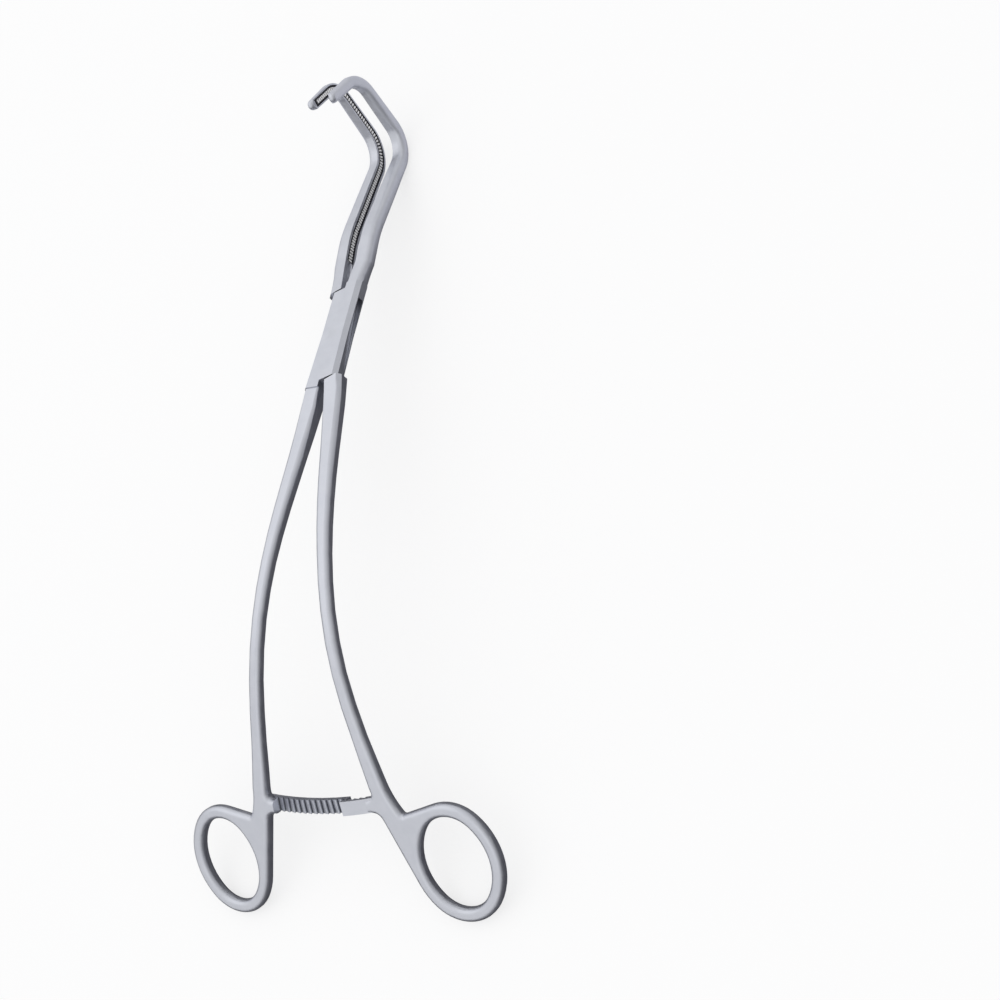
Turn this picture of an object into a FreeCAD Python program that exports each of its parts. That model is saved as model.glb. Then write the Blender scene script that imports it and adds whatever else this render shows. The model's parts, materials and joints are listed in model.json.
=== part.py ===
import FreeCAD, Part
import math
import os
from FreeCAD import Vector, Placement, Rotation

# Curved vascular clamp with finger rings, a box lock and a ratchet.
# Millimetres. Each half is drawn closed in the lock frame: the origin is on the
# pivot at the middle of the box lock, +Y runs to the jaws, X is the way that the
# jaws and rings open, and +Z leaves the upper face of the box lock.
# The slotted half carries the right jaw and the left ring, the other half passes
# through its slot and carries the left jaw and the right ring.

# Opening of each half from the closed position, as the part is stored
half_opening = 2.7

# Box lock
box_half_width = 4.9
box_root_half_width = 5.5
box_thickness = 5.0
box_chamfer = 1.2
box_reach = 15.6
step_slope = 0.30
shoulder_gap = 0.25
slot_height = 2.0
slot_clearance = 0.05
tongue_half_width = 4.1
wall_reach = 15.3
wall_slope = 0.62
tongue_end_gap = 0.3

# Pivot pin, ground flush with both faces of the box
pin_radius = 1.5
pin_clearance = 0.03

# Jaws: a flat grip face and a rounded back, along a path in the plane X = 0
root_end_y = 25.0
jaw_corners = [(36.0, 0.6), (73.6, -5.2), (78.4, 21.9)]
jaw_end = (63.9, 28.6)
jaw_radii = [40.0, 8.7, 7.6]
jaw_width_root = 4.4
jaw_width_knee = 3.9
jaw_width_tip = 3.0
jaw_depth_root = 4.8
jaw_depth_knee = 3.7
jaw_depth_tip = 2.4
grip_gap = 0.04
jaw_toe = 1.5
jaw_toe_y = 52.0
jaw_edge = 0.15
jaw_round = 0.46

# Shanks, from the box lock back to the handle: distance back, drop, spread, width, height
shank_stations = [
    (23.0, 0.8, 3.15, 5.8, 4.4),
    (38.0, 1.6, 3.9, 5.2, 4.0),
    (53.0, 2.4, 5.1, 4.5, 3.7),
    (68.0, 4.2, 6.5, 4.0, 3.5),
    (83.0, 7.9, 7.9, 3.8, 3.4),
    (98.0, 14.6, 9.6, 3.8, 3.4),
    (112.0, 24.0, 11.9, 4.0, 3.5),
]
shank_corner = 1.5
inner_edge = 0.2

# Handles: oval finger rings in a sloping plane, with a web up to the shank.
# Places in that plane are outwards and along from the centre of the ring.
ring_back = 138.8
ring_drop = 46.0
ring_spread = 31.6
ring_slope = 41.0
ring_hole_length = 24.8
ring_hole_width = 20.0
ring_end_radius = 8.6
ring_band = 3.6
handle_thickness = 3.6
handle_round = 1.5
neck_out = -17.6
neck_along = 22.0
neck_width = 4.9
neck_lean = 8.5
notch_out = -12.0
notch_along = 13.6
notch_radius = 0.8

# Ratchet bars: strips in a cone about the pivot that slide over each other
bar_along = 16.7
bar_radius = ring_back - bar_along * math.cos(math.radians(ring_slope))
bar_drop = ring_drop - bar_along * math.sin(math.radians(ring_slope))
bar_height = 3.9
bar_flare = 2.2
bar_relief = 0.35
bar_thickness = 1.7
bar_separation = 0.12
tooth_pitch = 1.9
tooth_depth = 0.7
long_bar_tip = 14.8
long_bar_teeth = 14
short_bar_tip = -1.6
short_bar_teeth = 4

side_left, side_right = -1, 1


def ring_line(points):
    """Closed polyline in the plane Z = 0."""
    corners = [Vector(x, y, 0) for x, y in points]
    return Part.makePolygon(corners + corners[:1])


def prism(points, low, high):
    """Straight solid over a plan outline."""
    solid = Part.Face(ring_line(points)).extrude(Vector(0, 0, high - low))
    solid.translate(Vector(0, 0, low))
    return solid


def corner_section(centre, u, v, box, corner, bulge):
    """Outline with cut or rounded corners. box is (u low, u high, v low, v high),
    corner the four corner sizes, anticlockwise from the high corner of both, and
    bulge 0 for a straight chamfer and 1 for a quarter circle."""
    u0, u1, v0, v1 = box
    turns = [(u1, v1, 1, 1), (u0, v1, -1, 1), (u0, v0, -1, -1), (u1, v0, 1, -1)]
    spans = []
    for i, (s, t, ds, dt) in enumerate(turns):
        r = corner[i]
        k = r * (1.0 - bulge) / 2
        ends = [centre + u * s + v * (t - dt * r), centre + u * (s - ds * r) + v * t]
        if i % 2:
            ends.reverse()
        spans.append((ends[0], centre + u * (s - ds * k) + v * (t - dt * k), ends[1]))
    edges = []
    for i, (first, middle, last) in enumerate(spans):
        curve = Part.BezierCurve()
        curve.setPoles([first, middle, last])
        curve.setWeight(2, math.sqrt(0.5))
        edges.append(curve.toShape())
        edges.append(Part.makeLine(last, spans[(i + 1) % 4][0]))
    return Part.Wire(edges)


def rounded_path(points, radii):
    """Lines and tangent arcs through corner points."""
    edges = []
    start = points[0]
    for corner, after, radius in zip(points[1:-1], points[2:], radii):
        back = (start - corner).normalize()
        ahead = (after - corner).normalize()
        half = back.getAngle(ahead) / 2.0
        reach = radius / math.tan(half)
        arc_in = corner + back * reach
        arc_out = corner + ahead * reach
        middle = corner + (back + ahead).normalize() * (radius / math.sin(half) - radius)
        edges.append(Part.makeLine(start, arc_in))
        edges.append(Part.Arc(arc_in, middle, arc_out).toShape())
        start = arc_out
    edges.append(Part.makeLine(start, points[-1]))
    return edges


def jaw_section(point, along, width, depth, corner, bulge):
    """Grip face towards X = 0, small edges there and large ones on the back."""
    out = Vector(-1, 0, 0)
    across = along.cross(out).normalize()
    a = width / 2.0
    return corner_section(point, out, across, (grip_gap, grip_gap + depth, -a, a),
                          (corner, jaw_edge, jaw_edge, corner), bulge)


def left_jaw():
    """Jaw from its foot in the box lock, swept with a taper, and its round tip."""
    points = [Vector(0, root_end_y, 0)] + [Vector(0, y, z) for y, z in jaw_corners]
    end = Vector(0, *jaw_end)
    edges = rounded_path(points + [end], jaw_radii)
    shell = Part.BRepOffsetAPI.MakePipeShell(Part.Wire(edges))
    shell.setBiNormalMode(Vector(1, 0, 0))
    marks = [
        (edges[0], 0.0, jaw_width_root, jaw_depth_root),
        (edges[4], 0.0, jaw_width_knee, jaw_depth_knee),
        (edges[6], 1.0, jaw_width_tip, jaw_depth_tip),
    ]
    for edge, share, width, depth in marks:
        at = edge.FirstParameter + share * (edge.LastParameter - edge.FirstParameter)
        shell.add(jaw_section(edge.valueAt(at), edge.tangentAt(at), width, depth,
                              jaw_round * width, 1.0))
    shell.build()
    shell.makeSolid()
    tip = jaw_tip(end, edges[6].tangentAt(edges[6].LastParameter))
    arm = jaw_foot().fuse([shell.shape(), tip])
    arm.rotate(Vector(0, jaw_toe_y, 0), Vector(0, 0, 1), -jaw_toe)
    return arm


def jaw_foot():
    """Foot of the jaw, from the square end of the box lock to the round section of the arm,
    drawn in the frame of the arm before it is turned in by its toe."""
    forward = Vector(0, 1, 0)
    heel = math.tan(math.radians(jaw_toe)) * (jaw_toe_y - root_end_y) / 2
    width = (box_thickness + jaw_width_root) / 2
    box_end = jaw_section(Vector(0, box_reach - 1.5, 0), forward, box_thickness,
                          box_half_width - grip_gap, box_chamfer, 0.0)
    middle = jaw_section(Vector(-heel, (box_reach + root_end_y) / 2, 0), forward, width,
                         box_half_width - heel, 1.6, 0.6)
    for section in (box_end, middle):
        section.rotate(Vector(0, jaw_toe_y, 0), Vector(0, 0, 1), jaw_toe)
    start = Vector(0, root_end_y, 0)
    root = jaw_section(start, (Vector(0, *jaw_corners[0]) - start).normalize(), jaw_width_root,
                       jaw_depth_root, jaw_round * jaw_width_root, 1.0)
    return Part.makeLoft([box_end, middle, root], True, False)


def jaw_tip(point, along):
    """Half round end of the jaw."""
    section = jaw_section(point, along, jaw_width_tip, jaw_depth_tip,
                          jaw_round * jaw_width_tip, 1.0)
    across = along.cross(Vector(-1, 0, 0)).normalize()
    size = jaw_width_root * 2
    turn = Rotation(Vector(0, 1, 0), across)
    cut = Part.makeBox(size * 2, size, size * 2, Vector(-size, 0, -size))
    cut.Placement = Placement(point, turn)
    half = Part.Face(section).common(cut)
    return half.revolve(point, Vector(-1, 0, 0), -180)


def jaw(side):
    shape = left_jaw()
    return shape if side == side_left else shape.mirror(Vector(0, 0, 0), Vector(1, 0, 0))


def shank_point(station, side):
    back, drop, spread, width, height = station
    return Vector(side * spread, -back, -drop)


def handle_frame(side):
    """Centre of the ring, and unit vectors outwards, towards the jaws and out of its face."""
    tilt = math.radians(ring_slope)
    centre = Vector(side * ring_spread, -ring_back, -ring_drop)
    return (centre, Vector(side, 0, 0), Vector(0, math.cos(tilt), math.sin(tilt)),
            Vector(0, -math.sin(tilt), math.cos(tilt)))


def shank(side):
    """Shank from the box lock to the handle plate, ruled between sections on a smooth line."""
    ring_centre, out, along, normal = handle_frame(side)
    end = ring_centre + out * neck_out + along * neck_along
    centres = [Vector(side * box_root_half_width / 2, 1.0 - box_reach, 0)]
    centres += [shank_point(s, side) for s in shank_stations] + [end]
    sizes = [(box_root_half_width - grip_gap, box_thickness)]
    sizes += [s[3:] for s in shank_stations] + [(neck_width, handle_thickness)]
    curve = Part.BSplineCurve()
    curve.interpolate(centres)
    at = [curve.parameter(p) for p in centres]
    sections = []
    last = len(centres) - 1
    for i in range(last * 2 + 1):
        low, share = min(i // 2, last - 1), (i / 2) - min(i // 2, last - 1)
        parameter = at[low] + (at[low + 1] - at[low]) * share
        point, tangent = curve.value(parameter), curve.tangent(parameter)[0]
        w, h = (a + (b - a) * share for a, b in zip(sizes[low], sizes[low + 1]))
        round_share = min(1.0, i / 6)
        corner = box_chamfer + (shank_corner - box_chamfer) * round_share
        edge = inner_edge + (corner - inner_edge) * min(1.0, i / 4)
        u = (out - tangent * tangent.dot(out)).normalize()
        v = Vector(0, 0, 1)
        v = (v - tangent * tangent.dot(v) - u * u.dot(v)).normalize()
        if i == 0:
            u, v = out, Vector(0, 0, 1)
        elif i == last * 2:
            lean = math.radians(neck_lean)
            u, v = out * math.cos(lean) + along * math.sin(lean), normal
        sections.append(corner_section(point, u, v, (-w / 2, w / 2, -h / 2, h / 2),
                                       (corner, edge, edge, corner), round_share))
    return Part.makeLoft(sections, True, True)


def oval_arcs(half_width, half_length, end_radius):
    """Centre distance of the end arcs, and centre distance and radius of the side arcs,
    of an oval of four tangent arcs that is long along Y, and the point where they meet."""
    e = end_radius
    side_radius = (half_width ** 2 + (half_length - e) ** 2 - e ** 2) / (2 * (half_width - e))
    end_centre, side_centre = half_length - e, side_radius - half_width
    lean = math.atan2(end_centre, side_centre)
    meet = Vector(side_radius * math.cos(lean) - side_centre, side_radius * math.sin(lean), 0)
    return end_centre, side_centre, side_radius, meet


def tangent_point(centre, radius, point, turn):
    """Point where a line from point touches a circle, on the side that turn, 1 or -1, gives."""
    to = point - centre
    angle = math.atan2(to.y, to.x) + turn * math.acos(radius / to.Length)
    return centre + Vector(radius * math.cos(angle), radius * math.sin(angle), 0)


def arc(start, middle, end):
    return Part.Arc(start, middle, end).toShape()


def neck_directions():
    """Unit vectors down the neck and across it, in the plane of the handle."""
    lean = math.radians(neck_lean)
    return Vector(math.sin(lean), -math.cos(lean), 0), Vector(math.cos(lean), math.sin(lean), 0)


def bend(start, corner, end):
    """Curve that turns a corner, tangent to both its sides."""
    curve = Part.BezierCurve()
    curve.setPoles([start, corner, end])
    return curve.toShape()


def handle_outline():
    """Neck, bar root, web and ring as one closed outline, drawn from the top of the ring."""
    w, l = ring_hole_width / 2 + ring_band, ring_hole_length / 2 + ring_band
    end_radius = ring_end_radius + ring_band
    end_centre, side_centre, side_radius, meet = oval_arcs(w, l, end_radius)
    down, across = neck_directions()
    neck = Vector(neck_out, neck_along, 0)
    inner, outer = neck - across * (neck_width / 2), neck + across * (neck_width / 2)
    upper = inner + down * ((inner.y - bar_along - bar_height / 2) / -down.y)
    lower = upper + down * (bar_height / -down.y)
    foot = tangent_point(Vector(side_centre, 0, 0), side_radius, lower, 1)
    root = upper.x - bar_flare
    notch = Vector(notch_out, notch_along, 0)
    top = tangent_point(Vector(0, end_centre, 0), end_radius, notch, -1)
    low_left = Vector(-meet.x, -meet.y, 0)
    low_right = Vector(meet.x, -meet.y, 0)
    flare_in, flare_out = upper - down * bar_flare, lower + (foot - lower).normalize() * bar_flare
    between = (foot + low_left) / 2 - Vector(side_centre, 0, 0)
    over_top = (meet + top) / 2 - Vector(0, end_centre, 0)
    return Part.Wire([
        Part.makeLine(top, notch), bend(notch, outer + down * ((outer - notch).Length * 0.5), outer),
        Part.makeLine(outer, inner), Part.makeLine(inner, flare_in),
        bend(flare_in, upper, Vector(root, upper.y, 0)),
        Part.makeLine(Vector(root, upper.y, 0), Vector(root, lower.y, 0)),
        bend(Vector(root, lower.y, 0), lower, flare_out), Part.makeLine(flare_out, foot),
        arc(foot, Vector(side_centre, 0, 0) + between.normalize() * side_radius, low_left),
        arc(low_left, Vector(0, -l, 0), low_right), arc(low_right, Vector(w, 0, 0), meet),
        arc(meet, Vector(0, end_centre, 0) + over_top.normalize() * end_radius, top)])


def handle_hole():
    end_centre, side_centre, side_radius, meet = oval_arcs(ring_hole_width / 2, ring_hole_length / 2,
                                                           ring_end_radius)
    x, y = meet.x, meet.y
    corners = [Vector(x, y, 0), Vector(-x, y, 0), Vector(-x, -y, 0), Vector(x, -y, 0)]
    middles = [Vector(0, ring_hole_length / 2, 0), Vector(-ring_hole_width / 2, 0, 0),
               Vector(0, -ring_hole_length / 2, 0), Vector(ring_hole_width / 2, 0, 0)]
    return Part.Wire([arc(corners[i], middles[i], corners[(i + 1) % 4]) for i in range(4)])


def handle(side):
    """Finger ring, the web beside it and the neck that takes the shank, with round edges."""
    t = handle_thickness
    blank = Part.Face(handle_outline()).extrude(Vector(0, 0, t))
    blank = blank.cut(Part.Face(handle_hole()).extrude(Vector(0, 0, t)))
    blank.translate(Vector(0, 0, -t / 2))
    notch = Vector(notch_out, notch_along, 0)
    crease = [e for e in blank.Edges if (e.CenterOfMass - notch).Length < 0.01]
    blank = blank.makeFillet(notch_radius, crease)
    neck = Vector(neck_out, neck_along, 0)
    down, across = neck_directions()
    upper = neck - across * (neck_width / 2)
    upper = upper + down * ((upper.y - bar_along - bar_height / 2) / -down.y)
    rims = [e for e in blank.Edges if abs(abs(e.CenterOfMass.z) - t / 2) < 1e-4
            and abs((e.CenterOfMass - neck).dot(down)) > 0.01
            and abs(e.CenterOfMass.x - upper.x + bar_flare) > 0.01]
    blank = blank.makeFillet(handle_round, rims)
    if side == side_left:
        blank = blank.mirror(Vector(0, 0, 0), Vector(1, 0, 0))
    blank.rotate(Vector(0, 0, 0), Vector(1, 0, 0), ring_slope)
    blank.translate(handle_frame(side)[0])
    return blank


def cone_strip(low, high, half, near, far):
    """Strip of the cone that the bars slide on, from X = low to X = high beside the middle
    plane, half its height to each side, between two distances from the sliding surface."""
    slope = math.radians(ring_slope)
    outward = Vector(0, -math.cos(slope), -math.sin(slope))
    normal = Vector(0, -math.sin(slope), math.cos(slope))
    centre = Vector(0, -bar_radius, -bar_drop)
    corners = [centre + outward * s + normal * t
               for s, t in ((-half, near), (half, near), (half, far), (-half, far))]
    section = Part.Face(Part.makePolygon(corners + corners[:1]))
    from_angle, to_angle = (math.degrees(math.asin(x / bar_radius)) for x in (low, high))
    section.rotate(Vector(0, 0, 0), Vector(0, 0, 1), from_angle)
    return section.revolve(Vector(0, 0, 0), Vector(0, 0, 1), to_angle - from_angle)


def bar(side, tip, teeth, face):
    """Ratchet bar from the handle of that side to tip, which lies past the middle plane on
    the other side. Teeth are on the side that face gives: -1 lies below the surface
    where the two bars meet and 1 above it."""
    slope = math.radians(ring_slope)
    outward = Vector(0, -math.cos(slope), -math.sin(slope))
    normal = Vector(0, -math.sin(slope), math.cos(slope))
    near = face * bar_separation / 2
    solid = cone_strip(side * (ring_spread + neck_out), -side * tip, bar_height / 2,
                       near, near + face * bar_thickness)
    start = Vector(0, -bar_radius, -bar_drop) - outward * bar_height + normal * near
    run = Vector(side * tooth_pitch, 0, 0)
    over = normal * (face * 0.05)
    notch = [start - over, start + run - over, start + run + normal * (face * tooth_depth)]
    cutter = Part.Face(Part.makePolygon(notch + notch[:1])).extrude(outward * (2 * bar_height))
    step = math.degrees(tooth_pitch / bar_radius)
    reach = math.degrees(math.asin(tip / bar_radius))
    cuts = []
    for i in range(teeth):
        cut = cutter.copy()
        cut.rotate(Vector(0, 0, 0), Vector(0, 0, 1), side * (i * step - reach))
        cuts.append(cut)
    return solid.cut(cuts)


def box_section(y, half_width):
    return corner_section(Vector(0, y, 0), Vector(1, 0, 0), Vector(0, 0, 1),
                          (-half_width, half_width, -box_thickness / 2, box_thickness / 2),
                          (box_chamfer,) * 4, 0.0)


def box_blank():
    reach = box_reach + 2.0
    return Part.makeLoft([box_section(-reach, box_root_half_width), box_section(0, box_half_width),
                          box_section(reach, box_half_width)], True, True)


def turned(points):
    """The same outline turned half a turn about the pivot."""
    return [(-x, -y) for x, y in points]


def before_step(gap):
    """Plan region between the pivot and the slanted step at the left end of the box."""
    far = 20.0
    line = box_reach + gap
    return [(-far, line - step_slope * far), (far, line + step_slope * far), (far, -far), (-far, -far)]


def slot_outline():
    """Plan region of the slot, which lets the other half cross from lower right to upper left."""
    far = 20.0
    wide = far + grip_gap
    upper = [(-far, far), (grip_gap, far), (grip_gap, wall_reach), (wide, wall_reach - wall_slope * wide)]
    return upper + turned(upper)


def slotted_half():
    far = 20.0
    corner = [(-far, far), (-far, box_reach - step_slope * far), (grip_gap, box_reach), (grip_gap, far)]
    plates = box_blank().cut([prism(corner, -far, far), prism(turned(corner), -far, far)])
    solid = plates.fuse([jaw(side_right), shank(side_left), handle(side_left)])
    solid = solid.cut(prism(slot_outline(), -slot_height / 2, slot_height / 2))
    solid = solid.fuse(bar(side_left, long_bar_tip, long_bar_teeth, -1))
    return solid.cut(pin_blank(pin_radius, box_thickness * 2))


def tongue_half():
    far = 20.0
    before = before_step(shoulder_gap)
    jaw_side = jaw(side_left).cut(prism(before, -far, far))
    shank_side = shank(side_right).cut(prism(turned(before), -far, far))
    thickness = slot_height - 2 * slot_clearance
    w = tongue_half_width
    top = wall_reach - tongue_end_gap
    plan = [(-grip_gap, box_reach + 2.0), (-grip_gap, top), (w, top - wall_slope * w),
            (w, 2.0 - box_reach - step_slope * w)]
    plan += turned(plan)
    tongue = prism(plan, -thickness / 2, thickness / 2)
    relief = cone_strip(0.0, long_bar_tip + bar_relief, bar_height / 2 + bar_flare + bar_relief,
                        bar_separation / 2, -handle_thickness)
    grip = handle(side_right).cut(relief)
    solid = jaw_side.fuse([tongue, shank_side, grip, bar(side_right, short_bar_tip, short_bar_teeth, 1)])
    return solid.cut(pin_blank(pin_radius + pin_clearance, box_thickness * 2))


def pin_blank(radius, length):
    return Part.makeCylinder(radius, length, Vector(0, 0, -length / 2))


def lowest(shapes, angle):
    """Lowest height of the shapes when they are tilted about X."""
    low = []
    for shape in shapes:
        copy = shape.copy()
        copy.rotate(Vector(0, 0, 0), Vector(1, 0, 0), angle)
        low.append(copy.optimalBoundingBox(False).ZMin)
    return min(low)


def resting_tilt(rings, jaws):
    """Tilt at which the ring ends and the bends of the jaws touch one flat surface."""
    first, second = -10.0, -16.0
    off_first = lowest(rings, first) - lowest(jaws, first)
    for _ in range(4):
        off_second = lowest(rings, second) - lowest(jaws, second)
        if abs(off_second) < 1e-4:
            break
        slope = (off_second - off_first) / (second - first)
        first, off_first = second, off_second
        second = second - off_second / slope
    return second


def opened(shape, side):
    """A half turned from closed to the opening that the part is stored with."""
    copy = shape.copy()
    copy.rotate(Vector(0, 0, 0), Vector(0, 0, 1), side * half_opening)
    return copy


halves = {
    "slotted_half": opened(slotted_half(), side_left),
    "tongue_half": opened(tongue_half(), side_right),
    "pivot_pin": pin_blank(pin_radius, box_thickness),
}
tilt = resting_tilt([opened(handle(side_left), side_left)], [opened(jaw(side_right), side_left)])
os.makedirs("parts", exist_ok=True)
for shape in halves.values():
    shape.rotate(Vector(0, 0, 0), Vector(1, 0, 0), tilt)
whole = Part.makeCompound(list(halves.values())).optimalBoundingBox(False)
pivot = Vector(0, -(whole.YMin + whole.YMax) / 2, -whole.ZMin)
for node, shape in halves.items():
    shape.translate(pivot)
    print(node, shape.isValid(), len(shape.Solids), round(shape.Volume, 1), shape.BoundBox)
    shape.exportStep("parts/" + node + ".step")
print("tilt", round(tilt, 5), "pivot", [round(v, 5) for v in pivot])
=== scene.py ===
# %% [markdown]
# A vascular clamp: two forged halves that cross in a box lock, finger rings behind,
# a ratchet between the shanks and hooked jaws in front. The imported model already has
# nearly every real form, so this lesson is about finish: smooth shading over the machined
# forms, round tips and a fine grip for the jaws, and satin steel under soft light.

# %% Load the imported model
import json
import math

import bpy
from mathutils import Matrix, Vector


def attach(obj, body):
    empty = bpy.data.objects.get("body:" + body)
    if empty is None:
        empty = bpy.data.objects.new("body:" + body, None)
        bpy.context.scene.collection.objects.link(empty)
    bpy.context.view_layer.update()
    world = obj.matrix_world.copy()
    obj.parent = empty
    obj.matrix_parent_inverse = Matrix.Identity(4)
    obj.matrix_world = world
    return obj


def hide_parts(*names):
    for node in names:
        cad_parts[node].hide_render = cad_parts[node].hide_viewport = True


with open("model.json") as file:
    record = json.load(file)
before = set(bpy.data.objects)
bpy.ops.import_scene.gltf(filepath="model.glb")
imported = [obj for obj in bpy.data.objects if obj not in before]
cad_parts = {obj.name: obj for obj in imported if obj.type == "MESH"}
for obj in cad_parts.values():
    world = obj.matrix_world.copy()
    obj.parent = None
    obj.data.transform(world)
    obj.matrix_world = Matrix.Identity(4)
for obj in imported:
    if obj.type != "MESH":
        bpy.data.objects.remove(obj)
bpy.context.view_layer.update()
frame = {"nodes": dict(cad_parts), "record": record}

mm = 0.001
hinge = frame["record"]["behaviour"]["joints"][0]
pivot = Vector(hinge["pos_m"])
lock_tilt = -math.asin(hinge["axis"][1])
print("nodes", sorted(frame["nodes"]))
print("pivot", tuple(pivot), "tilt", round(math.degrees(lock_tilt), 3))

# %% [markdown]
# The camera comes first, because every later choice is judged through it. The lens and
# the place were worked out from the ovals of the rings and the run of the shanks, so
# the picture is the photograph's own, seen from above and to the right.

# %% Camera
sensor_width = 36.0
lens_length = 50.402
camera_place = (0.24366, -0.11021, 0.30848)
camera_turn = (16.1575, 32.7068, 1.62)

camera_data = bpy.data.cameras.new("camera")
camera_data.sensor_width = sensor_width
camera_data.lens = lens_length
camera = bpy.data.objects.new("camera", camera_data)
camera.location = camera_place
camera.rotation_euler = [math.radians(angle) for angle in camera_turn]
bpy.context.scene.collection.objects.link(camera)
bpy.context.scene.camera = camera
view = camera.rotation_euler.to_matrix() @ Vector((0, 0, -1))
print("camera looks along", tuple(round(v, 3) for v in view))

# %% [markdown]
# Small helpers. Colours are written as a screen shows them and turned to light values
# by one function. One function adds a node with its settings and its links: a socket is
# named by its words, or by i and its number where several share a name.

# %% Helpers for colour and nodes
def colour(text):
    """Linear colour from an sRGB hex value."""
    parts = [int(text[i:i + 2], 16) / 255 for i in (1, 3, 5)]
    linear = [p / 12.92 if p <= 0.04045 else ((p + 0.055) / 1.055) ** 2.4 for p in parts]
    return tuple(linear) + (1.0,)


def node(tree, kind, settings=None, **links):
    """Adds a node. settings are its own properties, links are sockets or values by name."""
    made = tree.nodes.new(kind)
    for name, value in (settings or {}).items():
        setattr(made, name, value)
    for name, value in links.items():
        numbered = name[1:].isdigit()
        socket = made.inputs[int(name[1:]) if numbered else name.replace("_", " ")]
        if isinstance(value, bpy.types.NodeSocket):
            tree.links.new(value, socket)
        else:
            socket.default_value = value
    return made


def new_material(name):
    """An empty material and its node tree."""
    material = bpy.data.materials.new(name)
    material.use_nodes = True
    tree = material.node_tree
    tree.nodes.clear()
    return material, tree


print("helpers for colour and nodes are ready, mid grey is", round(colour("#808080")[0], 3))

# %% [markdown]
# Satin steel. Forged stainless, ground smooth and then blasted with fine glass beads, so
# it is evenly dull: broad soft highlights, no mirror. Two scales of noise do it: cloudy
# patches a few millimetres wide in the colour and the dullness, and a fine grain in the
# bump, drawn at 0.25 mm, which is coarser than real beads leave, so that it shows. Shade
# is painted into sharp inner corners from an occlusion test, so the steel is drawn dark
# at the roots of the teeth and along the steps of the lock.

# %% Blasted stainless steel
cloud_size = 4.0 * mm
cloud_low, cloud_high = 0.3, 0.7
dull_change = 0.05
grain_strength = 0.5
# Painted shade in tight corners reaches this far; it is full below the first openness value
# and gone above the second.
crevice_reach = 0.9 * mm
crevice_closed, crevice_open = 0.3, 0.68


def blasted_steel(name, light, dark, rough, grain_mm, grain_height_mm,
                  metal=1.0, painted_shade_share=0.25):
    """Steel between two tones, with painted shade in tight corners. The last argument is the
    share of its tone left there.
    """
    material, tree = new_material(name)
    place = node(tree, "ShaderNodeTexCoord").outputs["Object"]
    cloud = node(tree, "ShaderNodeTexNoise", Vector=place, Scale=1 / cloud_size,
                 Detail=4.0, Roughness=0.6)
    grain = node(tree, "ShaderNodeTexNoise", Vector=place, Scale=1 / (grain_mm * mm),
                 Detail=2.0)
    tone = node(tree, "ShaderNodeMixRGB", i0=cloud.outputs["Fac"],
                i1=colour(dark), i2=colour(light))
    # Painted shade: an occlusion test darkens the tone in tight corners.
    open_sky = node(tree, "ShaderNodeAmbientOcclusion", {"samples": 8},
                    Distance=crevice_reach)
    painted_corner_shade = node(tree, "ShaderNodeMapRange", Value=open_sky.outputs["AO"],
                 i1=crevice_closed, i2=crevice_open, i3=painted_shade_share, i4=1.0)
    tone = node(tree, "ShaderNodeMixRGB", {"blend_type": "MULTIPLY"}, i0=1.0,
                i1=tone.outputs[0], i2=painted_corner_shade.outputs[0])
    dull = node(tree, "ShaderNodeMapRange", Value=cloud.outputs["Fac"],
                i1=cloud_low, i2=cloud_high, i3=rough - dull_change, i4=rough + dull_change)
    bump = node(tree, "ShaderNodeBump", Height=grain.outputs["Fac"],
                Strength=grain_strength, Distance=grain_height_mm * mm)
    steel = node(tree, "ShaderNodeBsdfPrincipled", Base_Color=tone.outputs[0],
                 Metallic=metal, Roughness=dull.outputs[0], Normal=bump.outputs[0])
    node(tree, "ShaderNodeOutputMaterial", Surface=steel.outputs[0])
    return material


# %% [markdown]
# Four finishes of the same steel. The halves are blasted all over. The pin is ground
# flush after it is pressed in, so it is a shade darker and smoother. The floor of the
# grip lies deep between the teeth, where light hardly gets in, and that shade is painted
# into its colour, almost black. The teeth are cut so fine that their small faces throw
# light every way, and a low metallic value gives that matt look; their near white colour,
# paler than the rest of the steel, is painted light.

# %% The four finishes
satin_steel = blasted_steel("satin_blasted_stainless", "#D9DBE2", "#C5C8D1",
                            rough=0.40, grain_mm=0.25, grain_height_mm=0.014)
pin_steel = blasted_steel("ground_stainless", "#D7D9E0", "#C4C7CF",
                          rough=0.38, grain_mm=0.20, grain_height_mm=0.010)
# Painted shade: the grip's floor is coloured near black for the shade between its teeth.
grip_floor_painted_shade = blasted_steel("serrated_stainless_painted_shade", "#4A4A50", "#2E2E33",
                           rough=0.55, grain_mm=0.18, grain_height_mm=0.03)
# Painted light: the teeth are coloured near white, paler than the rest of the steel, for the
# light they catch; the low metallic value makes them matt.
grip_teeth_painted_light = blasted_steel("cut_tooth_stainless_painted_light", "#FFFFFF", "#F4F4F6",
                           rough=0.60, grain_mm=0.20, grain_height_mm=0.006,
                           metal=0.3, painted_shade_share=0.6)
print("materials", [material.name for material in bpy.data.materials])

# %% [markdown]
# Helpers for objects. An operator acts on all that is selected, so one object at a time
# is made the selected one before anything is done to it.

# %% Helpers for objects
def only(obj):
    """Makes one object the only selected and active one."""
    bpy.ops.object.select_all(action="DESELECT")
    obj.select_set(True)
    bpy.context.view_layer.objects.active = obj


def edit(obj, select="SELECT"):
    """Opens edit mode on one object, with its whole mesh selected or deselected."""
    only(obj)
    bpy.ops.object.mode_set(mode="EDIT")
    bpy.ops.mesh.select_all(action=select)


def leave_edit():
    bpy.ops.object.mode_set(mode="OBJECT")


def edit_faces(obj, wanted):
    """Opens edit mode on one object, with only the wanted faces selected."""
    edit(obj, "DESELECT")
    bpy.ops.mesh.select_mode(type="FACE")
    leave_edit()
    for face in obj.data.polygons:
        face.select = wanted(face)
    bpy.ops.object.mode_set(mode="EDIT")


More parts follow.
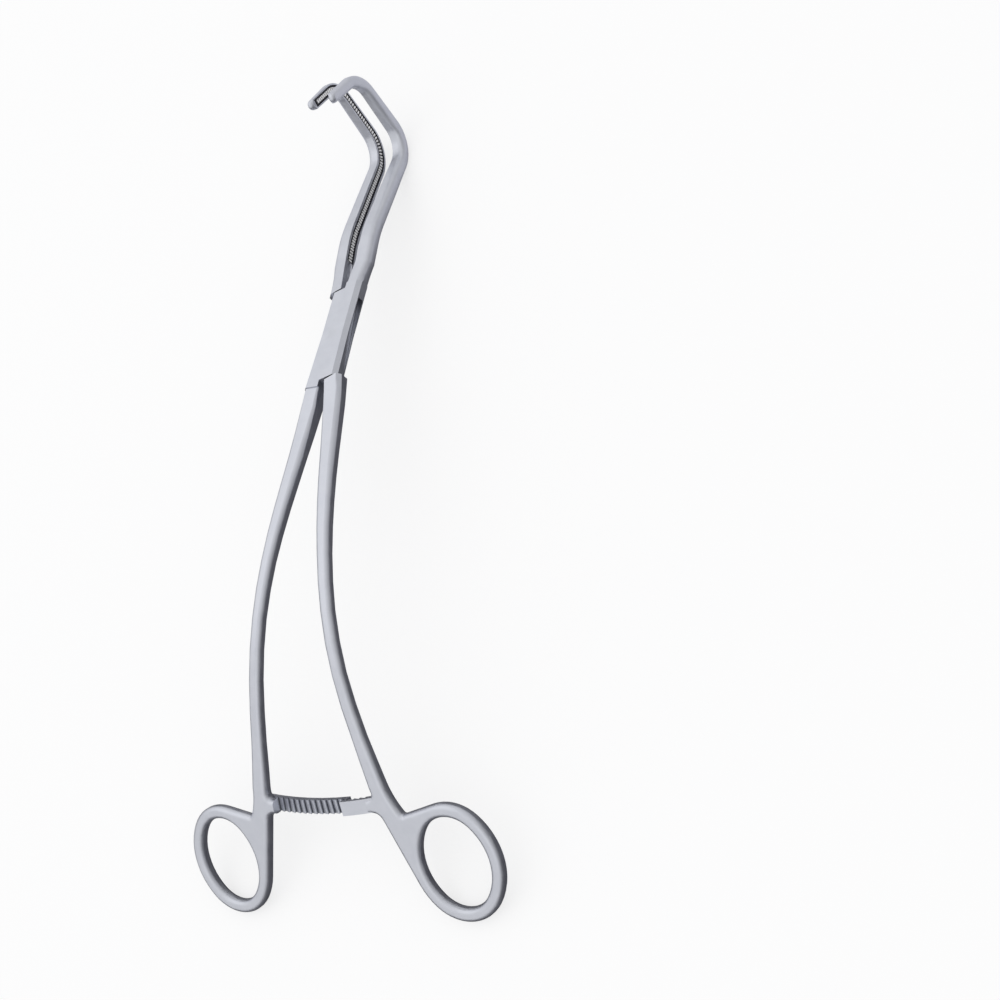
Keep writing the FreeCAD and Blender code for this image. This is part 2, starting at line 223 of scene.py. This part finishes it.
def shape(obj, size, move):
    """Stretches a new primitive about its middle and then moves it."""
    edit(obj)
    bpy.ops.transform.resize(value=size)
    bpy.ops.transform.translate(value=move)
    leave_edit()


def apply_modifier(obj, kind, **settings):
    """Adds a modifier with its settings and applies it."""
    only(obj)
    modifier = obj.modifiers.new(kind.lower(), kind)
    for name, value in settings.items():
        setattr(modifier, name, value)
    bpy.ops.object.modifier_apply(modifier=modifier.name)


def cut(obj, cutter):
    """Takes the cutter's shape out of an object and removes the cutter."""
    apply_modifier(obj, "BOOLEAN", object=cutter, operation="DIFFERENCE", solver="EXACT")
    bpy.data.objects.remove(cutter)


def give(obj, material):
    """Makes a material the only one of an object."""
    obj.data.materials.clear()
    obj.data.materials.append(material)


print("helpers for objects are ready")

# %% [markdown]
# The two halves keep the machined shape of the model, but its triangles are loose: each
# has corners of its own, so nothing can be cut or smoothed across them. A copy with its
# doubles merged is one closed skin, and it stands for the node from here on.

# %% Merged copies of the halves
same_point = 0.0005 * mm


def merged_copy(name, new_name):
    """A copy of a node with its own mesh, merged to one skin."""
    source = frame["nodes"][name]
    copy = source.copy()
    copy.data = source.data.copy()
    copy.name = copy.data.name = new_name
    bpy.context.scene.collection.objects.link(copy)
    edit(copy)
    bpy.ops.mesh.remove_doubles(threshold=same_point)
    bpy.ops.mesh.customdata_custom_splitnormals_clear()
    leave_edit()
    return copy


# The left jaw belongs to the tongue half, because the halves cross in the lock.
left, right = 1, -1
halves = {
    right: merged_copy("slotted_half", "slotted_half_satin"),
    left: merged_copy("tongue_half", "tongue_half_satin"),
}
for half in halves.values():
    print(half.name, len(half.data.vertices), "vertices", len(half.data.polygons), "faces")

# %% [markdown]
# The jaw's centre line. What goes in a jaw has to follow its bends, so the line that the
# model's jaw was swept along is drawn again here, in the flat plane where the closed jaws
# meet and in millimetres from the pivot: a long arm with a slight set-back, a knee and
# a hook, as straight spans joined by round ones.

# %% The jaw's centre line
root_y = 25.0
jaw_corners = [(36.0, 0.6), (73.6, -5.2), (78.4, 21.9)]
jaw_end = (63.9, 28.6)
jaw_radii = [40.0, 8.7, 7.6]


def centre_line():
    """Straight and round spans through the corners: start, direction, length, turn."""
    spans = []
    start = Vector((root_y, 0.0))
    corners = [Vector(corner) for corner in jaw_corners + [jaw_end]]
    for corner, after, radius in zip(corners, corners[1:], jaw_radii):
        back, ahead = (start - corner).normalized(), (after - corner).normalized()
        half_angle = back.angle(ahead) / 2
        reach = radius / math.tan(half_angle)
        arc_in = corner + back * reach
        spans.append((start, -back, (arc_in - start).length, 0.0))
        turn = math.copysign(1 / radius, (-back).x * ahead.y - (-back).y * ahead.x)
        spans.append((arc_in, -back, radius * (math.pi - 2 * half_angle), turn))
        start = corner + ahead * reach
    last = corners[-1] - start
    spans.append((start, last.normalized(), last.length, 0.0))
    return spans


line = centre_line()
line_length = sum(span[2] for span in line)


def on_line(s):
    """Point and direction in the plane of the jaw at a distance along its centre line."""
    for start, ahead, length, turn in line:
        if s <= length or (start, ahead) == line[-1][:2]:
            if turn == 0.0:
                return start + ahead * s, ahead
            angle = s * turn
            side = Vector((-ahead.y, ahead.x))
            along, aside = math.sin(angle) / turn, (1 - math.cos(angle)) / turn
            point = start + ahead * along + side * aside
            return point, ahead * math.cos(angle) + side * math.sin(angle)
        s -= length


print("centre line of the jaw", round(line_length, 2), "mm in", len(line), "spans")

# %% [markdown]
# From the bench to the jaw. A piece for a jaw is modelled straight, as on a bench, and
# then laid along it: a point's X becomes the way along the centre line, Y the way across
# and Z the height above the grip face. The jaw gets narrower towards its tip, and so does
# what lies on it. One matrix then takes the left jaw's closed drawing to either jaw of
# the open clamp.

# %% Bench to jaw
# Lengths are in millimetres and angles in degrees. The grip face stands back from the
# plane where the closed jaws meet, and each jaw is turned in a little about a point on it,
# so that the tips meet first.
grip_face = 0.04
tip_share = 0.80
jaw_toe, jaw_toe_y = 1.5, 52.0
half_opening = 2.7


def jaw_matrix(side):
    """From the closed drawing to the part: toe, mirror, opening, tilt and place."""
    toe_point = Vector((0.0, jaw_toe_y * mm, 0.0))
    toe = Matrix.Translation(toe_point) @ Matrix.Rotation(math.radians(-jaw_toe), 4, "Z") \
        @ Matrix.Translation(-toe_point)
    mirror = Matrix.Scale(side, 4, Vector((1, 0, 0)))
    opening = Matrix.Rotation(math.radians(side * half_opening), 4, "Z")
    tilt = Matrix.Rotation(lock_tilt, 4, "X")
    return Matrix.Translation(pivot) @ tilt @ opening @ mirror @ toe


def lay_on_jaw(obj, side):
    """Bends a straight piece, drawn in millimetres, along the grip face of one jaw."""
    place = jaw_matrix(side)
    for v in obj.data.vertices:
        point, ahead = on_line(v.co.x)
        across = Vector((ahead.y, -ahead.x))
        flat = point + across * (v.co.y * (1 - (1 - tip_share) * v.co.x / line_length))
        v.co = place @ (Vector((-grip_face + v.co.z, flat.x, flat.y)) * mm)
    edit(obj)
    bpy.ops.mesh.normals_make_consistent(inside=False)
    leave_edit()


for side in (left, right):
    tip = jaw_matrix(side) @ (Vector((0.0, *jaw_end)) * mm)
    print(halves[side].name, "tip at", tuple(round(v / mm, 2) for v in tip), "mm")

# %% [markdown]
# Round tips. The tips of the real jaws are round and smooth, so that they slide past
# tissue, while the model's jaws end square. Each end is rounded here as on a lathe:
# it moves out a little, is cut across at growing steps, and each ring of points is drawn
# in towards the middle of the jaw by the rule of a circle. The corners go in first, so
# that the section turns from the jaw's own, which is nearly square, to an oval.

# %% Round the tips
# The dome starts tip_back before the square end. The middle of the jaw lies tip_middle
# behind the grip face, and only points between tip_low and tip_high across belong to it.
tip_radius = 1.5
tip_back = 0.6
tip_middle = 1.24
tip_half_depth = 1.2
tip_turns = [math.radians(angle) for angle in (0, 8, 16, 24, 32, 48, 64, 80)]
tip_low, tip_high = -3.0, 0.5
end_slack = 0.01
cut_merge = 1e-8

end_point, end_ahead = on_line(line_length)
dome_start = end_point - end_ahead * tip_back
forward = Vector((0.0, end_ahead.x, end_ahead.y))
sideways = forward.cross(Vector((1.0, 0.0, 0.0)))


def near_tip(half, bench):
    """The vertices round the tip, each with its point on the bench and how far it is past
    the start of the dome."""
    for v in half.data.vertices:
        point = bench @ v.co / mm
        way = Vector((point.y, point.z)) - dome_start
        if way.length < 2 * tip_radius and tip_low < point.x < tip_high:
            yield v, point, way.dot(end_ahead)


def lengthen_tip(half, place, bench):
    """Moves the square end out to where the last ring of the dome will be."""
    step = tip_radius * math.sin(tip_turns[-1]) - tip_back
    for v, point, past in near_tip(half, bench):
        if past > tip_back - end_slack:
            v.co = place @ ((point + forward * step) * mm)


def cut_rings(half, place, bench):
    """Cuts the end across at growing steps, which leaves a ring of points at each."""
    for turn in tip_turns[:-1]:
        reach = tip_radius * math.sin(turn)
        beyond = {v.index for v, point, past in near_tip(half, bench) if past > reach}
        centre = Vector((0.0, dome_start.x, dome_start.y)) + forward * reach
        edit_faces(half, lambda face: any(i in beyond for i in face.vertices))
        bpy.ops.mesh.bisect(plane_co=place @ (centre * mm), threshold=cut_merge,
                            plane_no=place.to_3x3() @ forward)
        leave_edit()


def draw_in(half, place, bench):
    """Draws each ring in by the rule of a circle. spread is 1 on the oval and about the
    root of 2 at a square corner, and no point may stay further out than its limit."""
    drawn = 0
    for v, point, past in near_tip(half, bench):
        if 0.0 < past < tip_radius:
            centre = Vector((-tip_middle, dome_start.x, dome_start.y)) + forward * past
            offset = point - centre
            spread = math.hypot(offset.x / tip_half_depth, sideways.dot(offset) / tip_radius)
            corner = math.sqrt(2.0)
            limit = corner + (1.0 - corner) * min(1.0, 2 * past / tip_radius)
            share = math.sqrt(1.0 - (past / tip_radius) ** 2)
            share *= min(1.0, limit / max(spread, 0.1))
            v.co = place @ ((centre + offset * share) * mm)
            drawn += 1
    return drawn


for side in (left, right):
    place = jaw_matrix(side)
    bench = place.inverted()
    lengthen_tip(halves[side], place, bench)
    cut_rings(halves[side], place, bench)
    drawn = draw_in(halves[side], place, bench)
    print(halves[side].name, drawn, "points drawn in to the dome")

# %% [markdown]
# The groove and the hollow. A long groove is milled in each grip face for the grip, and
# an oval hollow behind it, at the foot of the jaw. A straight bar that has to bend needs
# cuts across it, so it starts as a grid one step wide and many steps long, which a
# Solidify modifier makes a closed bar. The hollow is the lower part of a stretched ball.
# Both are cutters: bent along the jaw and taken out of it.

# %% Groove and hollow
# The inlay's ends are distances along the centre line. The groove goes groove_margin past
# them, and is wider than the inlay by the same.
inlay_start = 2.0
inlay_end = line_length - 0.9
groove_width = 2.8
groove_depth = 0.45
groove_margin = 0.1
cutter_top = 0.5
bar_step = 0.5
hollow_size = (2.9, 1.35, 0.8)
hollow_gap = 0.05
hollow_rise = 0.1


def straight_bar(name, start, end, width, bottom, top):
    """A closed bar along X with cuts across it, drawn in millimetres."""
    steps = int((end - start) / bar_step)
    bpy.ops.object.select_all(action="DESELECT")
    bpy.ops.mesh.primitive_grid_add(x_subdivisions=steps, y_subdivisions=1, size=1.0)
    bar = bpy.context.object
    bar.name = bar.data.name = name
    shape(bar, (end - start, width, 1.0), ((start + end) / 2, 0.0, bottom))
    apply_modifier(bar, "SOLIDIFY", thickness=top - bottom, offset=1.0)
    return bar


for side in (left, right):
    groove = straight_bar("groove", inlay_start - groove_margin, inlay_end + groove_margin,
                          groove_width, -groove_depth, cutter_top)
    lay_on_jaw(groove, side)
    cut(halves[side], groove)
    bpy.ops.object.select_all(action="DESELECT")
    bpy.ops.mesh.primitive_uv_sphere_add(segments=32, ring_count=16, radius=1.0)
    hollow = bpy.context.object
    shape(hollow, hollow_size, (inlay_start - hollow_size[0] - hollow_gap, 0.0, hollow_rise))
    lay_on_jaw(hollow, side)
    cut(halves[side], hollow)
    print(halves[side].name, len(halves[side].data.polygons), "faces with groove and hollow")

# %% [markdown]
# The grip. Each jaw holds one long inlay, painted near black for the shade between the
# teeth, with a single row of small teeth, painted pale for the light they catch, that end
# just under the grip face. One tooth is a cube with its top drawn in, and an Array
# modifier repeats it before the row is bent.

# %% Inlay and teeth
# Heights are counted from the grip face, which is 0, and the floor of the groove is below.
inlay_top = -0.28
inlay_lift = 0.02
tooth_size = (0.68, 1.40, 0.40)
tooth_crest = (0.66, 0.82, 1.0)
tooth_pitch = 1.0
tooth_middle = 0.05
first_tooth = 0.6


def tooth_row(name):
    """One tooth, repeated along the inlay with the same room at both ends."""
    bpy.ops.object.select_all(action="DESELECT")
    bpy.ops.mesh.primitive_cube_add(size=1.0)
    tooth = bpy.context.object
    tooth.name = tooth.data.name = name
    shape(tooth, tooth_size, (inlay_start + first_tooth, 0.0, inlay_top + tooth_middle))
    edit_faces(tooth, lambda face: face.normal.z > 0.9)
    bpy.ops.transform.resize(value=tooth_crest)
    leave_edit()
    count = int((inlay_end - inlay_start - 2 * first_tooth) / tooth_pitch)
    apply_modifier(tooth, "ARRAY", count=count, use_relative_offset=False,
                   use_constant_offset=True,
                   constant_offset_displace=(tooth_pitch, 0.0, 0.0))
    return tooth, count


for side, word, body in ((left, "left", "tongue_body"), (right, "right", "slotted_body")):
    # The inlay is a dark sheet of painted shade laid in the groove.
    painted_shade_inlay = straight_bar(word + "_grip_inlay_painted_shade", inlay_start, inlay_end,
                         groove_width - groove_margin, -groove_depth + inlay_lift, inlay_top)
    teeth, count = tooth_row(word + "_grip_teeth_painted_light")
    for piece, material in ((painted_shade_inlay, grip_floor_painted_shade), (teeth, grip_teeth_painted_light)):
        lay_on_jaw(piece, side)
        give(piece, material)
        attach(piece, body)
    print(word, "jaw", count, "teeth")

# %% [markdown]
# Shading. The real halves are smooth to the eye, while the model's faces are flat. They
# are smoothed over gentle angles only, so that the chamfers of the box lock and the
# ratchet teeth stay crisp, and the normals are weighted by area, which keeps flat faces
# flat next to the round edges.

# %% Shade the halves and give them their steel
smooth_angle = math.radians(30)

for side, name, body in ((right, "slotted_half", "slotted_body"),
                         (left, "tongue_half", "tongue_body")):
    half = halves[side]
    give(half, satin_steel)
    for face in half.data.polygons:
        face.material_index = 0
    only(half)
    bpy.ops.object.shade_smooth_by_angle(angle=smooth_angle)
    apply_modifier(half, "WEIGHTED_NORMAL", keep_sharp=True)
    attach(half, body)
    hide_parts(name)
    print(half.name, "stands for", name, "on", body)
give(frame["nodes"]["pivot_pin"], pin_steel)

# %% [markdown]
# The floor is nearly white to the camera and keeps a soft, light shadow of the clamp. To
# reflections it is a mid grey, as a studio table is, and that is what draws the dark
# bands down the right-hand sides of the shanks. Round the jaws it is as light as a white
# card, which opens up the grip and the upright arms of the hooks.

# %% Floor
# These are metres. The floor gets lighter from a little in front of the box lock.
floor_size = 6.0
card_start, card_full = 0.06, 0.10
white_share = 0.7
pure_white = (1.0, 1.0, 1.0, 1.0)

bpy.ops.object.select_all(action="DESELECT")
bpy.ops.mesh.primitive_plane_add(size=floor_size)
floor = bpy.context.object
floor.name = floor.data.name = "floor"
paper, tree = new_material("white_paper")
path = node(tree, "ShaderNodeLightPath")
place = node(tree, "ShaderNodeTexCoord").outputs["Object"]
along = node(tree, "ShaderNodeSeparateXYZ", Vector=place).outputs["Y"]
card = node(tree, "ShaderNodeMapRange", Value=along, i1=card_start, i2=card_full)
reflected = node(tree, "ShaderNodeMixRGB", i0=card.outputs[0],
                 i1=colour("#5C5C60"), i2=colour("#D8D8DC"))
shade = node(tree, "ShaderNodeMixRGB", i0=path.outputs["Is Glossy Ray"],
             i1=colour("#F7F7F7"), i2=reflected.outputs[0])
matt = node(tree, "ShaderNodeBsdfDiffuse", Color=shade.outputs[0])
white = node(tree, "ShaderNodeEmission", Color=pure_white, Strength=1.0)
lift = node(tree, "ShaderNodeMath", {"operation": "MULTIPLY"},
            i0=path.outputs["Is Camera Ray"], i1=white_share)
paper_face = node(tree, "ShaderNodeMixShader", i0=lift.outputs[0],
                  i1=matt.outputs[0], i2=white.outputs[0])
node(tree, "ShaderNodeOutputMaterial", Surface=paper_face.outputs[0])
give(floor, paper)
print("floor", floor_size, "m wide, lighter to reflections from Y", card_start, "m on")

# %% [markdown]
# Lamps. One broad soft lamp stands high on the left, as in the picture, and a weaker one
# in front lifts the shadows under the rings.

# %% Lamps
def soft_lamp(name, place, size, watts):
    """A round lamp that looks at the middle of the floor."""
    data = bpy.data.lights.new(name, "AREA")
    data.shape = "DISK"
    data.size = size
    data.energy = watts
    lamp = bpy.data.objects.new(name, data)
    lamp.location = place
    lamp.rotation_euler = (-Vector(place)).to_track_quat("-Z", "Y").to_euler()
    bpy.context.scene.collection.objects.link(lamp)
    print(name, "size", size, "m,", watts, "W")


soft_lamp("key_lamp", (-0.6, 0.3, 1.0), size=1.3, watts=1.1)
soft_lamp("fill_lamp", (0.5, -0.9, 1.0), size=1.2, watts=0.8)

# %% [markdown]
# The world fills in from all round. Seen in the steel, it is bright above and on the
# left and falls off towards the right, so that round forms turn from light to dark. To
# the camera it is white.

# %% World
bright_side = (-0.75, 0.15, 0.65)
fall_start, fall_end = -0.8, 0.4
dark_level, bright_level = 0.34, 0.86
daylight = (0.92, 0.92, 0.93, 1.0)

world = bpy.data.worlds.new("studio")
bpy.context.scene.world = world
world.use_nodes = True
tree = world.node_tree
tree.nodes.clear()
direction = node(tree, "ShaderNodeTexCoord").outputs["Generated"]
towards = node(tree, "ShaderNodeVectorMath", {"operation": "DOT_PRODUCT"},
               i0=direction, i1=bright_side)
fall = node(tree, "ShaderNodeMapRange", Value=towards.outputs["Value"],
            i1=fall_start, i2=fall_end, i3=dark_level, i4=bright_level)
path = node(tree, "ShaderNodeLightPath")
seen = node(tree, "ShaderNodeMixRGB", i0=path.outputs["Is Glossy Ray"],
            i1=daylight, i2=fall.outputs[0])
back = node(tree, "ShaderNodeMixRGB", i0=path.outputs["Is Camera Ray"],
            i1=seen.outputs[0], i2=pure_white)
sky = node(tree, "ShaderNodeBackground", Color=back.outputs[0], Strength=1.0)
node(tree, "ShaderNodeOutputWorld", Surface=sky.outputs[0])
bpy.context.scene.view_settings.view_transform = "Standard"
print("world from", dark_level, "on the right to", bright_level, "on the left")
